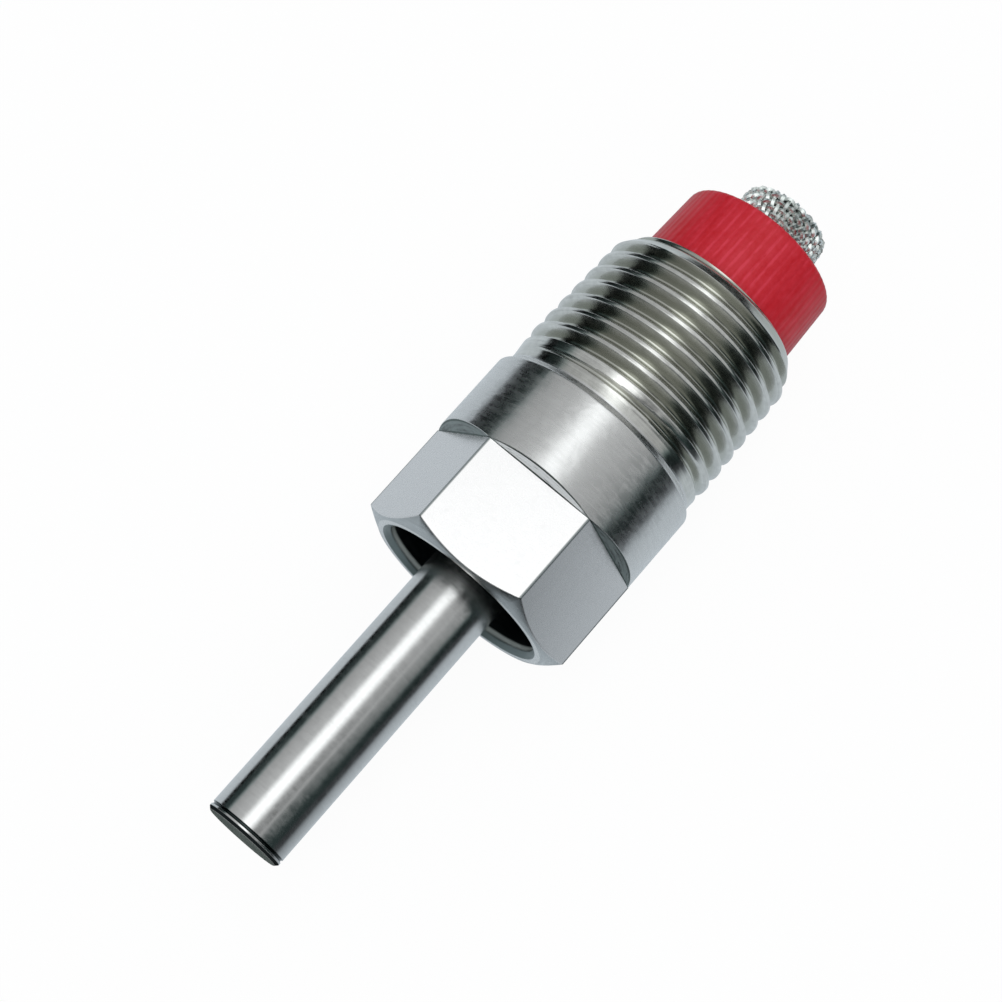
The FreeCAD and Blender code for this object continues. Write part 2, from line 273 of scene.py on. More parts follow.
def tubes(name, lines, radius, sides, finish):
    """Round closed tubes along lines of points, each given with its normals."""
    points = []
    faces = []
    offset = 0
    for line, normals in lines:
        along = np.gradient(line, axis=0)
        along /= np.linalg.norm(along, axis=1, keepdims=True)
        across = np.cross(along, normals)
        across /= np.linalg.norm(across, axis=1, keepdims=True)
        up = np.cross(across, along)
        around = 2 * math.pi * np.arange(sides) / sides
        ring = line[:, None, :] + radius * (np.cos(around)[None, :, None] * across[:, None, :]
                                            + np.sin(around)[None, :, None] * up[:, None, :])
        points.append(ring.reshape(-1, 3))
        last = offset + (len(line) - 1) * sides
        for first in range(offset, last, sides):
            for k in range(sides):
                following = (k + 1) % sides
                faces.append((first + k, first + following, first + sides + following, first + sides + k))
        faces.append(tuple(range(offset, offset + sides)))
        faces.append(tuple(range(last, last + sides)))
        offset = last + sides
    return mesh_object(name, np.concatenate(points), faces, [finish], welded=False, sharp=60)


# Materials

class Nodes:
    """Short names for adding and joining the nodes of a material or of the world."""

    def __init__(self, owner):
        self.owner = owner
        owner.use_nodes = True
        self.tree = owner.node_tree
        self.shader = self.tree.nodes.get("Principled BSDF")

    def add(self, kind, **settings):
        node = self.tree.nodes.new(kind)
        for key, value in settings.items():
            setattr(node, key, value)
        return node

    def join(self, source, target):
        self.tree.links.new(source, target)

    def math(self, operation, first, second=None):
        node = self.add("ShaderNodeMath", operation=operation)
        for socket, value in zip(node.inputs, (first, second)):
            if value is None:
                continue
            if isinstance(value, (int, float)):
                socket.default_value = value
            else:
                self.join(value, socket)
        return node.outputs[0]

    def plus(self, first, second):
        return self.math("ADD", first, second)

    def minus(self, first, second):
        return self.math("SUBTRACT", first, second)

    def times(self, first, second):
        return self.math("MULTIPLY", first, second)

    def noise(self, vector, scale, detail=2.0, roughness=0.5, distortion=0.0):
        node = self.add("ShaderNodeTexNoise")
        node.inputs["Scale"].default_value = scale
        node.inputs["Detail"].default_value = detail
        node.inputs["Roughness"].default_value = roughness
        node.inputs["Distortion"].default_value = distortion
        self.join(vector, node.inputs["Vector"])
        return node.outputs["Fac"]

    def spread(self, value, low, high, to_low, to_high, soft=False):
        """Value carried from one range to another, and held at its ends."""
        node = self.add("ShaderNodeMapRange", interpolation_type="SMOOTHSTEP" if soft else "LINEAR")
        for index, number in enumerate((low, high, to_low, to_high), start=1):
            node.inputs[index].default_value = number
        self.join(value, node.inputs[0])
        return node.outputs[0]

    def blend(self, share, first, second):
        """Colour between two others."""
        node = self.add("ShaderNodeMix", data_type="RGBA")
        self.join(share, node.inputs["Factor"])
        for socket, value in ((node.inputs[6], first), (node.inputs[7], second)):
            if isinstance(value, tuple):
                socket.default_value = (*value, 1.0)
            else:
                self.join(value, socket)
        return node.outputs[2]

    def bump(self, height, distance, normal=None):
        """Normal of a surface with heights up to a distance in millimetres."""
        node = self.add("ShaderNodeBump")
        node.inputs["Strength"].default_value = 1.0
        node.inputs["Distance"].default_value = distance * MM
        self.join(height, node.inputs["Height"])
        if normal is not None:
            self.join(normal, node.inputs["Normal"])
        return node.outputs["Normal"]

    def coordinates(self):
        """Object coordinates, in metres."""
        return self.add("ShaderNodeTexCoord").outputs["Object"]

    def parts(self):
        """The three parts of the object coordinates."""
        node = self.add("ShaderNodeSeparateXYZ")
        self.join(self.coordinates(), node.inputs[0])
        return node.outputs

    def turn(self):
        """Angle round the axis from the top, in radians."""
        x, _, z = self.parts()
        return self.math("ARCTAN2", x, z)

    def out(self):
        """Distance from the axis, in metres."""
        x, _, z = self.parts()
        return self.math("SQRT", self.plus(self.math("POWER", x, 2.0), self.math("POWER", z, 2.0)))

    def cylindrical(self, around_scale, along_scale, out_scale):
        """Coordinates that follow the drinker's axis: round it, along it and out from it."""
        around = self.times(self.turn(), around_scale)
        along = self.times(self.parts()[Y], along_scale / MM)
        out = self.times(self.out(), out_scale / MM)
        joined = self.add("ShaderNodeCombineXYZ")
        for socket, value in zip(joined.inputs, (around, along, out)):
            self.join(value, socket)
        return joined.outputs[0]

    def scaled(self, scales):
        """Object coordinates in millimetres, each multiplied by its own scale."""
        node = self.add("ShaderNodeVectorMath", operation="MULTIPLY")
        self.join(self.coordinates(), node.inputs[0])
        node.inputs[1].default_value = [scale / MM for scale in scales]
        return node.outputs[0]

    def between(self, low, high, soft):
        """Share that is 1 between two stations and 0 outside them, with soft ends."""
        station = self.times(self.parts()[Y], 1 / MM)
        return self.times(self.spread(station, low - soft, low + soft, 0.0, 1.0),
                          self.spread(station, high - soft, high + soft, 1.0, 0.0))

    def below_crest(self):
        """Share that grows from the thread's crests down to its roots, where shade is painted."""
        radius = self.times(self.out(), 1 / MM)
        taper = self.times(self.parts()[Y], TAPER_SLOPE / MM)
        depth = self.minus(GAUGE_RADIUS + GAUGE_STATION * TAPER_SLOPE, self.plus(radius, taper))
        return self.spread(depth, 0.15, 0.75, 0.0, 1.0, soft=True)

    def tangent(self):
        """Direction round the axis, for the turned finish."""
        return self.add("ShaderNodeTangent", direction_type="RADIAL", axis="Y").outputs[0]


def darker(colour, share):
    return tuple(channel * share for channel in colour)


def turned_metal(name, colour, roughness, anisotropic, line_depth, mottle, wave_depth, painted_dark_bands=(), roots=None,
                 dull=None):
    """Metal with fine turning lines round the axis and faint mottling.

    Painted dark bands lie between two stations each and stand in for shade and dark reflections, roots is the
    colour of the shade painted in the thread's grooves, and the metal mirrors nothing between the dull
    stations.
    """
    nodes = Nodes(bpy.data.materials.new(name))
    shader = nodes.shader
    shader.inputs["Metallic"].default_value = 1.0
    shader.inputs["Anisotropic"].default_value = anisotropic
    shader.inputs["Anisotropic Rotation"].default_value = 0.25
    lines = nodes.noise(nodes.cylindrical(1.2, 7.0, 7.0), 1.0, detail=3.0, roughness=0.7)
    streaks = nodes.noise(nodes.cylindrical(6.0, 3.5, 3.5), 1.0, detail=2.0, roughness=0.6)
    patches = nodes.noise(nodes.scaled((1.1, 1.1, 1.1)), 1.0, detail=3.0, roughness=0.6)
    rough = nodes.spread(nodes.plus(streaks, patches), 0.7, 1.3, roughness * 0.75, roughness * 1.35)
    nodes.join(rough, shader.inputs["Roughness"])
    tint = nodes.spread(nodes.plus(lines, patches), 0.75, 1.25, 0.0, 1.0)
    body = nodes.blend(tint, darker(colour, 1 - mottle), colour)
    # painted shade and dark reflections, each between two stations
    for low, high, soft, painted_dark in painted_dark_bands:
        painted_dark = nodes.blend(tint, darker(painted_dark, 0.7), painted_dark)
        body = nodes.blend(nodes.between(low, high, soft), body, painted_dark)
    if dull:
        share = nodes.between(*dull)
        nodes.join(nodes.spread(share, 0.0, 1.0, 1.0, 0.0), shader.inputs["Metallic"])
        nodes.join(nodes.spread(share, 0.0, 1.0, 0.5, 0.0), shader.inputs["Specular IOR Level"])
    # painted shade, darker down in the thread's grooves
    if roots:
        body = nodes.blend(nodes.below_crest(), body, roots)
    nodes.join(body, shader.inputs["Base Color"])
    waves = nodes.noise(nodes.scaled((0.38, 0.5, 0.38)), 1.0, detail=1.5, roughness=0.5, distortion=0.6)
    normal = nodes.bump(lines, line_depth)
    nodes.join(nodes.bump(waves, wave_depth, normal), shader.inputs["Normal"])
    nodes.join(nodes.tangent(), shader.inputs["Tangent"])
    return nodes.owner


def bore_metal(name):
    """Wall of the drinking recess: a lip painted dark for its dark reflection, a pale dull ring behind it
    painted for the light reflected near the mouth, and painted shade inside.
    """
    nodes = Nodes(bpy.data.materials.new(name))
    shader = nodes.shader
    grain = nodes.noise(nodes.cylindrical(3.0, 2.5, 2.5), 1.0, detail=3.0, roughness=0.6)
    # painted dark reflection on the lip
    lip = nodes.between(FRONT - 1, FRONT + 0.5, 0.08)
    # pale, dull ring: painted reflected light near the mouth
    scale = nodes.between(FRONT + 0.55, FRONT + 0.98, 0.1)
    # near-black painted shade deeper in the recess
    inside = nodes.blend(grain, (0.02, 0.026, 0.028), (0.05, 0.06, 0.062))
    body = nodes.blend(scale, nodes.blend(lip, inside, (0.165, 0.195, 0.19)), (0.50, 0.55, 0.53))
    nodes.join(body, shader.inputs["Base Color"])
    nodes.join(nodes.spread(scale, 0.0, 1.0, 1.0, 0.15), shader.inputs["Metallic"])
    nodes.join(nodes.spread(grain, 0.3, 0.7, 0.3, 0.45), shader.inputs["Roughness"])
    nodes.join(nodes.bump(grain, 0.01), shader.inputs["Normal"])
    return nodes.owner


def milled_metal(name, colour, roughness, depth):
    """Flat metal with the faint texture that a milling cutter leaves, and a painted dark reflection along the
    hexagon's corners.
    """
    nodes = Nodes(bpy.data.materials.new(name))
    shader = nodes.shader
    shader.inputs["Metallic"].default_value = 1.0
    grain = nodes.noise(nodes.scaled((1.6, 2.6, 1.6)), 1.0, detail=3.0, roughness=0.6, distortion=0.5)
    waves = nodes.noise(nodes.scaled((0.5, 0.35, 0.5)), 1.0, detail=2.0)
    nodes.join(nodes.spread(grain, 0.3, 0.7, roughness * 0.85, roughness * 1.25), shader.inputs["Roughness"])
    body = nodes.blend(nodes.spread(grain, 0.35, 0.65, 0.0, 1.0), darker(colour, 0.93), colour)
    # painted dark reflection along the hexagon's corners
    turn = nodes.times(nodes.turn(), 180 / math.pi)
    turn = nodes.minus(nodes.math("MODULO", nodes.plus(turn, 390.0), 60.0), 30.0)
    corner = nodes.spread(nodes.math("ABSOLUTE", turn), 29.0, 29.7, 0.0, 0.88, soft=True)
    nodes.join(nodes.blend(corner, body, (0.08, 0.10, 0.10)), shader.inputs["Base Color"])
    normal = nodes.bump(grain, depth)
    nodes.join(nodes.bump(waves, depth * 4, normal), shader.inputs["Normal"])
    return nodes.owner


def torn_metal(name, colour, top_highlight=None):
    """Rough run-out where the milling cutter left the bar. The top highlight colour is a pale, less metallic
    painted highlight for the top flat's run-out alone.
    """
    nodes = Nodes(bpy.data.materials.new(name))
    shader = nodes.shader
    shader.inputs["Metallic"].default_value = 1.0
    grain = nodes.noise(nodes.cylindrical(5.0, 4.5, 4.5), 1.0, detail=4.0, roughness=0.7)
    nodes.join(nodes.spread(grain, 0.35, 0.65, 0.25, 0.5), shader.inputs["Roughness"])
    body = nodes.blend(nodes.spread(grain, 0.38, 0.58, 0.0, 1.0), darker(colour, 0.3), colour)
    if top_highlight:
        # painted highlight: the top flat's run-out is pale and less metallic
        turn = nodes.math("ABSOLUTE", nodes.turn())
        top = nodes.spread(turn, math.radians(25), math.radians(29), 1.0, 0.0)
        body = nodes.blend(nodes.times(top, nodes.spread(grain, 0.3, 0.45, 0.4, 1.0)), body, top_highlight)
        nodes.join(nodes.spread(top, 0.0, 1.0, 1.0, 0.35), shader.inputs["Metallic"])
    nodes.join(body, shader.inputs["Base Color"])
    nodes.join(nodes.bump(grain, 0.03), shader.inputs["Normal"])
    return nodes.owner


def ribbed_plastic():
    """Semi-gloss red plastic with faint streaks along the axis, and a painted highlight that makes the ribs
    paler near the top.
    """
    nodes = Nodes(bpy.data.materials.new("red_plastic"))
    shader = nodes.shader
    shader.inputs["Roughness"].default_value = 0.42
    shader.inputs["IOR"].default_value = 1.49
    shader.inputs["Specular IOR Level"].default_value = 0.25
    streaks = nodes.noise(nodes.cylindrical(9.0, 0.35, 0.5), 1.0, detail=3.0, roughness=0.65)
    grain = nodes.noise(nodes.scaled((2.2, 2.2, 2.2)), 1.0, detail=3.0)
    turn = nodes.turn()
    # painted highlight: the ribs are paler near the top, where the lamp's reflection falls
    rib = nodes.spread(nodes.math("COSINE", nodes.times(turn, float(RIBS))), 0.3, 1.0, 0.0, 1.0)
    top = nodes.spread(nodes.math("ABSOLUTE", turn), 0.25, 0.55, 0.85, 0.3, soft=True)
    rib = nodes.times(rib, top)
    share = nodes.spread(nodes.plus(streaks, nodes.times(grain, 0.6)), 0.5, 1.1, 0.0, 0.6)
    share = nodes.plus(share, nodes.times(rib, nodes.spread(streaks, 0.4, 0.6, 0.2, 1.0)))
    nodes.join(nodes.blend(share, (0.46, 0.006, 0.013), (0.58, 0.034, 0.058)), shader.inputs["Base Color"])
    nodes.join(nodes.bump(streaks, 0.006), shader.inputs["Normal"])
    return nodes.owner


def rubber():
    """Matt black rubber with a faint moulded grain."""
    nodes = Nodes(bpy.data.materials.new("black_rubber"))
    shader = nodes.shader
    grain = nodes.noise(nodes.scaled((6.0, 6.0, 6.0)), 1.0, detail=3.0)
    nodes.join(nodes.spread(grain, 0.3, 0.7, 0.55, 0.75), shader.inputs["Roughness"])
    nodes.join(nodes.blend(grain, (0.012, 0.012, 0.012), (0.03, 0.03, 0.03)), shader.inputs["Base Color"])
    nodes.join(nodes.bump(grain, 0.01), shader.inputs["Normal"])
    return nodes.owner


def drawn_wire(name, colour, roughness):
    """Drawn wire: bright, with small dull and tarnished places."""
    nodes = Nodes(bpy.data.materials.new(name))
    shader = nodes.shader
    shader.inputs["Metallic"].default_value = 1.0
    grain = nodes.noise(nodes.scaled((2.4, 2.4, 2.4)), 1.0, detail=4.0, roughness=0.7)
    nodes.join(nodes.spread(grain, 0.3, 0.7, roughness * 0.7, roughness * 1.6), shader.inputs["Roughness"])
    body = nodes.blend(nodes.spread(grain, 0.35, 0.65, 0.0, 1.0), darker(colour, 0.55), colour)
    nodes.join(body, shader.inputs["Base Color"])
    nodes.join(nodes.bump(grain, 0.01), shader.inputs["Normal"])
    return nodes.owner


# Valve body

def sector_turns():
    """Turns of the body's columns: even round each spanner flat, and close together at its corners."""
    sector = np.array([-29.85, *np.linspace(-29.6, 29.6, 43), 29.85, 30.0])
    degrees = np.concatenate([60.0 * k - 90.0 + sector for k in range(6)])
    return np.append(degrees, degrees[0] + 360.0) / 360.0


def hexagon_radius(turns):
    """Distance from the axis to the spanner flats."""
    from_flat = (turns * 360.0 + 90.0 + 30.0) % 60.0 - 30.0
    return np.minimum(ACROSS_FLATS / 2 / np.cos(np.radians(from_flat)), CORNER_RADIUS)


def crest_radius(station):
    return GAUGE_RADIUS - (station - GAUGE_STATION) * TAPER_SLOPE


def softer(first, second, rounding):
    """Smaller of two values, with the step between them rounded."""
    return 0.5 * (first + second - np.sqrt((first - second) ** 2 + rounding ** 2))


def shank_radius(station, turns):
    """Radius of the threaded shank's surface at a station and turn."""
    ramp_end = NECK_LENGTH + NECK_RAMP
    plain = np.where(station > ramp_end, crest_radius(station), np.interp(
        station, [NECK_LENGTH, ramp_end], [NECK_RADIUS, crest_radius(ramp_end)]))
    lead_start = SHANK_END - LEAD_LENGTH
    lead = crest_radius(lead_start) - LEAD_DROP * (station - lead_start) / LEAD_LENGTH
    plain = np.where(station > lead_start, np.minimum(plain, lead), plain)
    grooves = (station - FIRST_ROOT) / PITCH - turns
    nearest = np.round(grooves)
    away = np.abs(grooves - nearest) * PITCH - ROOT_WIDTH / 2
    away = 0.5 * (away + np.sqrt(away ** 2 + ROOT_ROUNDING ** 2))
    before_full = np.maximum(0.0, -(turns + nearest))
    rise = (DEPTH + CUTTER_CLEARANCE) * before_full / FADE_TURNS
    groove = crest_radius(station) - DEPTH + rise + away / FLANK_SLOPE
    return softer(plain, groove, CREST_ROUNDING)


def thread_rows(turns):
    """Rows of points that run along the helix, held between the two ends of the shank.

    The steps across one thread lie closest at its root and at the corners of its crest.
    """
    half = [0.0, 0.07, 0.12, 0.17, 0.25, 0.36, 0.5, 0.62, 0.68, 0.72, 0.755, 0.79, 0.84]
    steps = np.array([*half, PITCH / 2, *(PITCH - offset for offset in reversed(half[1:]))])
    first_thread = math.floor((THREAD_START - FIRST_ROOT) / PITCH - turns.max()) - 1
    last_thread = math.ceil((SHANK_END - FIRST_ROOT) / PITCH - turns.min()) + 1
    rows = []
    for thread in range(first_thread, last_thread):
        for step in steps:
            station = FIRST_ROOT + (thread + turns) * PITCH + step
            station = np.clip(station, THREAD_START, SHANK_END)
            rows.append(on_circle(shank_radius(station, turns), station, turns))
    return rows


def make_valve_body():
    """One closed skin: recess, front ring, spanner flats, collar, thread and chamber."""
    turns = sector_turns()
    flat = hexagon_radius(turns)
    chamfer = FRONT + (flat - FRONT_CIRCLE) * FRONT_SLOPE
    front = turned_rows([
        (PIN_HOLE, WEB_FRONT, 0),
        (RECESS_RADIUS, WEB_FRONT, 0.3),
        (RECESS_RADIUS, FRONT + RECESS_LIP, 0.12),
        (RECESS_RADIUS + RECESS_LIP, FRONT, 0.06),
        (FRONT_CIRCLE, FRONT, 0),
    ], turns)
    hexagon = [
        on_circle(flat - HEX_EDGE, chamfer - HEX_EDGE * FRONT_SLOPE, turns),
        on_circle(flat - HEX_EDGE / 4, chamfer + HEX_EDGE / 3, turns),
        on_circle(flat, chamfer + HEX_EDGE * 1.5, turns),
        on_circle(flat, chamfer + HEX_EDGE * 2.5, turns),
        on_circle(flat, FLAT_END - HEX_EDGE, turns),
        on_circle(flat, FLAT_END, turns),
    ]
    rise = np.maximum(COLLAR_RADIUS - flat, 0.0)
    runout = FLAT_END + RUNOUT_GAP + rise * RUNOUT_SLOPE
    foot = on_circle(flat + np.minimum(rise * FOOT_RISE, FOOT_HIGHEST),
                     FLAT_END + SEAM + rise * FOOT_LEAN, turns)
    brow = on_circle(flat + (COLLAR_RADIUS - SEAM - flat) * RUNOUT_TOP,
                     runout - rise * RUNOUT_SLOPE * (1 - RUNOUT_TOP), turns)
    collar = [
        on_circle(COLLAR_RADIUS - SEAM, runout, turns),
        on_circle(COLLAR_RADIUS, runout + SEAM, turns),
        on_circle(COLLAR_RADIUS, runout + SEAM + HEX_EDGE, turns),
    ] + turned_rows([
        (COLLAR_RADIUS, COLLAR_START, 0),
        (COLLAR_RADIUS, -COLLAR_CHAMFER, 0.12),
        (NECK_RADIUS, 0.0, 0.05),
        (NECK_RADIUS, THREAD_START, 0),
    ], turns)
    thread = thread_rows(turns)
    rear = turned_rows([
        (CHAMBER_RADIUS + CHAMBER_LIP, SHANK_END, 0),
        (CHAMBER_RADIUS, SHANK_END - CHAMBER_LIP, 0),
        (CHAMBER_RADIUS, SEAT, 0),
        (PIN_HOLE, SEAT, 0.12),
        (PIN_HOLE, WEB_FRONT, 0),
    ], turns)
    bands = [
        ("bore", front[:-1]),
        ("turned", front[-2:]),
        ("chamfer", [front[-1], hexagon[0]]),
        ("milled", hexagon),
        ("seam", [hexagon[-1], foot]),
        ("runout", [foot, brow]),
        ("seam", [brow, collar[0]]),
        ("turned", collar),
        ("thread", [collar[-1], *thread]),
        ("turned", [thread[-1], *rear]),
    ]
    # the lead at the shank's end is painted dark for the dark reflection it shows
    end_dark_reflection = (SHANK_END - END_REFLECTION_BAND, SHANK_END + 1, 0.08, (0.11, 0.15, 0.18))
    finishes = {
        "turned": turned_metal(
            "turned_steel", (0.62, 0.62, 0.61), roughness=0.26, anisotropic=0.5, line_depth=0.0008,
            mottle=0.08, wave_depth=0.04),
        "bore": bore_metal("recess_wall"),
        "chamfer": turned_metal(
            "turned_steel_chamfer", (0.47, 0.49, 0.49), roughness=0.3, anisotropic=0.4, line_depth=0.003,
            mottle=0.2, wave_depth=0.01),
        "milled": milled_metal("milled_steel", (0.70, 0.688, 0.68), roughness=0.26, depth=0.0015),
        # the seams are painted dark for the shade in them
        "seam": torn_metal("painted_shade_steel", (0.10, 0.13, 0.12)),
        "runout": torn_metal("torn_steel", (0.27, 0.31, 0.30), top_highlight=(0.88, 0.90, 0.91)),
        "thread": turned_metal(
            "threaded_steel", (0.66, 0.66, 0.63), roughness=0.17, anisotropic=0.3, line_depth=0.002,
            mottle=0.25, wave_depth=0.02, painted_dark_bands=[end_dark_reflection], roots=(0.44, 0.445, 0.40)),
    }
    return banded("valve_body_turned", bands, finishes)


# Other pieces

def make_trigger_pin():
    """Turned pin, from the ringed tip to the boss inside the spring. The tip's face and edge are painted dark
    for their dark reflections, and the ring groove for its shade.
    """
    ring = TIP + RING_SETBACK
    soft = 0.03
    face_end = TIP + 0.05
    edge_end = TIP + PIN_EDGE + 0.04
    finish = turned_metal(
        "polished_steel", (0.61, 0.61, 0.60), roughness=0.2, anisotropic=0.5, line_depth=0.0015,
        mottle=0.1, wave_depth=0.007, painted_dark_bands=[
            # painted dark reflection on the tip's face
            (TIP - 1, face_end, soft, (0.13, 0.15, 0.14)),
            # painted dark reflection on the tip's edge
            (face_end, edge_end, soft, (0.012, 0.015, 0.016)),
            # painted shade in the ring groove
            (ring - 0.02, ring + RING_WIDTH + 0.02, soft, (0.03, 0.04, 0.04)),
        ], dull=(TIP - 1, edge_end, soft))
    return lathe("trigger_pin_turned", [
        (0, TIP, 0),
        (PIN_RADIUS - PIN_EDGE, TIP, 0.06),
        (PIN_RADIUS, TIP + PIN_EDGE, 0.05),
        (PIN_RADIUS, ring, 0.03),
        (PIN_RADIUS - RING_DEPTH, ring + RING_FLANK, 0.03),
        (PIN_RADIUS - RING_DEPTH, ring + RING_WIDTH - RING_FLANK, 0.03),
        (PIN_RADIUS, ring + RING_WIDTH, 0.03),
        (PIN_RADIUS, HEAD_FRONT, 0.15),
        (HEAD_RADIUS, HEAD_FRONT, 0.15),
        (HEAD_RADIUS, HEAD_REAR, 0.15),
        (BOSS_RADIUS, HEAD_REAR, 0.1),
        (BOSS_RADIUS, BOSS_END - BOSS_EDGE, 0.1),
        (BOSS_RADIUS - BOSS_EDGE, BOSS_END, 0.1),
        (0, BOSS_END, 0),
    ], 240, finish)


def make_plug():
    """Red plug: finely ribbed head, plain spigot, spring pocket, jet and strainer socket."""
    segments = RIBS * 8
    turns = np.arange(segments + 1) / segments
    rib = (np.floor(turns * RIBS + 1e-6) % RIBS).astype(int)
    uneven = 0.6 + 0.4 * np.sin(rib * 12.9898) * np.cos(rib * 4.1414)
    valley = 0.5 + 0.5 * np.cos(2 * math.pi * RIBS * turns)
    cut = RIB_DEPTH * (0.35 + 0.65 * uneven) * valley
    outline = rounded([
        (SPIGOT_RADIUS, SHANK_END, 0),
        (PLUG_NEAR, SHANK_END, 0.08),
        (PLUG_FAR, PLUG_END, PLUG_EDGE),
        (SOCKET_RADIUS + SOCKET_RIM, PLUG_END, 0),
    ], steps=8)
    rows = []
    for radius, station in outline:
        share = np.clip((radius - (PLUG_FAR - PLUG_EDGE)) / (0.6 * PLUG_EDGE), 0.0, 1.0)
        rows.append(on_circle(radius - cut * share, station, turns))
    rows += turned_rows([
        (SOCKET_RADIUS + SOCKET_RIM, PLUG_END, 0),
        (SOCKET_RADIUS, PLUG_END, 0.12),
        (SOCKET_RADIUS, SOCKET_FLOOR, 0),
        (JET_RADIUS, SOCKET_FLOOR, 0.1),
        (JET_RADIUS, POCKET_FLOOR, 0.1),
        (POCKET_RADIUS, POCKET_FLOOR, 0),
        (POCKET_RADIUS, SPIGOT_FRONT, 0.1),
        (SPIGOT_RADIUS - SPIGOT_EDGE, SPIGOT_FRONT, 0.1),
        (SPIGOT_RADIUS, SPIGOT_FRONT + SPIGOT_EDGE, 0.1),
        (SPIGOT_RADIUS, SHANK_END, 0),
    ], turns)
    return mesh_object("filter_plug_ribbed", np.concatenate(rows), grid_faces(len(rows), segments + 1),
                       [ribbed_plastic()])


def strainer_profile():
    """Middle line of the strainer's wall from the centre of its end: distance, radius, station and normal.

    The normal is smoothed, so that the weave bends evenly round the corner.
    """
    depth = 2 * MESH_WIRE
    far = MESH_FAR - depth
    near = MESH_NEAR - depth
    end = STRAINER_END - depth
    corner = MESH_CORNER - depth / 2
    points = [(0.0, end), (far - corner, end)]
    for k in range(1, 9):
        angle = math.radians(90 * k / 8)
        points.append((far - corner + corner * math.sin(angle), end - corner + corner * math.cos(angle)))
    points.append((near, PLUG_END))
    points.append((near, PLUG_END - MESH_INSIDE))
    points = np.array(points)
    steps = np.linalg.norm(np.diff(points, axis=0), axis=1)
    distance = np.concatenate([[0.0], np.cumsum(steps)])
    fine = np.linspace(0.0, distance[-1], 600)
    radius = np.interp(fine, distance, points[:, 0])
    station = np.interp(fine, distance, points[:, 1])
    out = np.gradient(-station, fine)
    up = np.gradient(radius, fine)
    for _ in range(12):
        out[1:-1] = (out[:-2] + out[1:-1] + out[2:]) / 3
        up[1:-1] = (up[:-2] + up[1:-1] + up[2:]) / 3
    return fine, radius, station, out, up


def strainer_lines():
    """Wires of a plain weave, pressed from a flat disc into a cup."""
    fine, radius, station, out, up = strainer_profile()
    reach = fine[-1]
    count = int(reach / MESH_PITCH)
    lines = []
    for family in (0, 1):
        for i in range(-count, count):
            place = (i + 0.5) * MESH_PITCH
            half = math.sqrt(max(reach ** 2 - place ** 2, 0.0))
            if half < MESH_PITCH:
                continue
            number = max(8, int(2 * half / (MESH_PITCH / 4)))
            along = np.linspace(-half, half, number)
            wave = np.sin(math.pi * along / MESH_PITCH) * (-1) ** i * (1 if family == 0 else -1)
            first, second = (along, place) if family == 0 else (place, along)
            flat = np.hypot(first, second)
            cosine = first / flat
            sine = second / flat
            lift = MESH_WIRE * MESH_WAVE * wave
            here = np.interp(flat, fine, radius)
            there = np.interp(flat, fine, station)
            leaning = np.interp(flat, fine, out)
            facing = np.interp(flat, fine, up)
            normals = np.stack([leaning * cosine, facing, leaning * sine], axis=-1)
            line = np.stack([here * cosine, there, here * sine], axis=-1) + lift[:, None] * normals
            lines.append((line, normals))
    return lines


def make_strainer():
    """Woven wire cup, with the plain band that is pressed into the plug."""
    finish = drawn_wire("wire_mesh", (0.90, 0.95, 0.92), 0.3)
    outside = MESH_NEAR - BAND_CLEARANCE
    inside = outside - BAND_WALL
    weave = tubes("strainer_weave", strainer_lines(), MESH_WIRE, 5, finish)
    band = lathe("strainer_band", [
        (inside, SOCKET_FLOOR, 0),
        (outside, SOCKET_FLOOR, 0),
        (outside, PLUG_END - BAND_END, 0.1),
        (inside, PLUG_END - BAND_END, 0.1),
        (inside, SOCKET_FLOOR, 0),
    ], 96, finish)
    return weave, band


def make_spring():
    """Coil spring with a closed coil at each end."""
    coil = SPRING_RADIUS - WIRE / 2
    start = SPRING_FRONT + WIRE / 2
    end = SPRING_REAR - WIRE / 2
    turns = np.linspace(0, OPEN_TURNS + 2, 48 * (OPEN_TURNS + 2) + 1)
    station = np.interp(turns, [0, 1, OPEN_TURNS + 1, OPEN_TURNS + 2],
                        [start, start + CLOSED_PITCH, end - CLOSED_PITCH, end])
    line = on_circle(coil, station, turns)
    normals = on_circle(1.0, 0.0, turns)
    finish = drawn_wire("spring_steel", (0.55, 0.55, 0.54), 0.25)
    return tubes("return_spring_coils", [(line, normals)], WIRE / 2, 20, finish)


def make_object():
    """Every piece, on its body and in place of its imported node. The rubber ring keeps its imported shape."""
    body = make_valve_body()
    pin = make_trigger_pin()
    plug = make_plug()
    weave, band = make_strainer()
    spring = make_spring()
    for piece, carrier, node, finish in (
        (body, "housing", "valve_body", "turned_steel"),
        (pin, "pin", "trigger_pin", "polished_steel"),
        (plug, "housing", "filter_plug", "red_plastic"),
        (weave, "housing", "strainer", "wire_mesh"),
        (band, "housing", "strainer", "wire_mesh"),
        (spring, "spring", "return_spring", "spring_steel"),
    ):
        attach(piece, carrier)
        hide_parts(node)
    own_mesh(spring)
    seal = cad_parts["seat_seal"]
    seal.data.materials.clear()
    seal.data.materials.append(rubber())


# Studio

